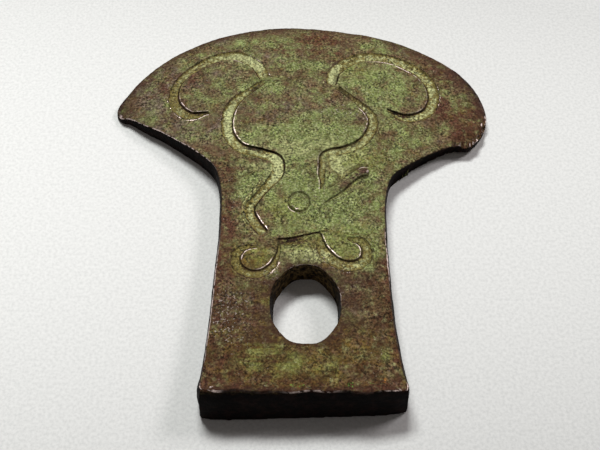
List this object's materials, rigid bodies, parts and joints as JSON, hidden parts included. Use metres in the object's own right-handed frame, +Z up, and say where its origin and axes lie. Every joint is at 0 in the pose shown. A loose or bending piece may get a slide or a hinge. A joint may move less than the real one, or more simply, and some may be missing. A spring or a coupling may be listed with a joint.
{
  "type": "axe head",
  "caption": "Flat cast axe head with a broad fan-shaped blade, a plain tang with a rounded hafting hole, and a carved animal mask on one face.",
  "frame": {"origin": "on the floor, under the middle of the casting's length and width", "axes": "+X across the blade, to the right seen from the butt; +Y from the butt to the cutting edge; +Z up, out of the carved face"},
  "size_m": [0.12, 0.141, 0.0129],
  "materials": {
    "bronze": "old cast bronze under a dull green and brown patina, rubbed brighter along the arrises"
  },
  "bodies": {
    "root": {"axe_head": "bronze"}
  },
  "joints": []
}
